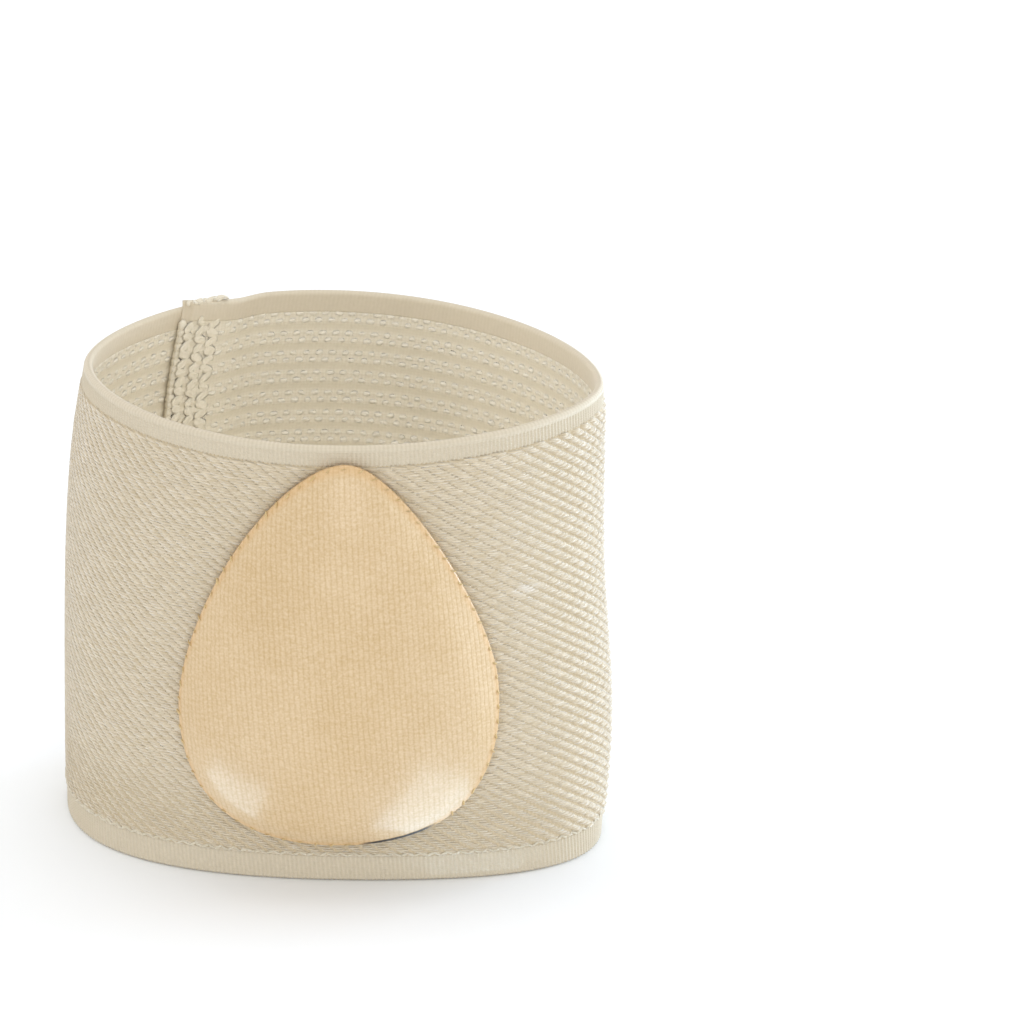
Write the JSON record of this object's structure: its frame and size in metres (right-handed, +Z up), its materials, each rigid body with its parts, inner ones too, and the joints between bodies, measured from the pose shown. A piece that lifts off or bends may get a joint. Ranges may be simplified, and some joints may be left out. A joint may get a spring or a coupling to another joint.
{
  "type": "arch support sleeve",
  "caption": "Short tube of ribbed elastic webbing worn round the midfoot, with an egg-shaped domed gel pad in a knitted cover on its outer face that supports the arch.",
  "frame": {"origin": "middle of the sleeve's box, on the surface that its bottom edge stands on", "axes": "+X along the long way across the oval, +Y from the pad to the back, +Z up from the bottom edge to the rim"},
  "size_m": [0.0876, 0.0698, 0.0764],
  "materials": {
    "web": "matte ribbed twill elastic, beige",
    "edge": "matte finely ribbed woven edge, pale beige",
    "pad_cover": "smooth fine knit with a soft sheen, tan"
  },
  "bodies": {
    "root": {"elastic_web": "web", "top_edge": "edge", "bottom_edge": "edge", "arch_pad": "pad_cover"}
  },
  "joints": []
}
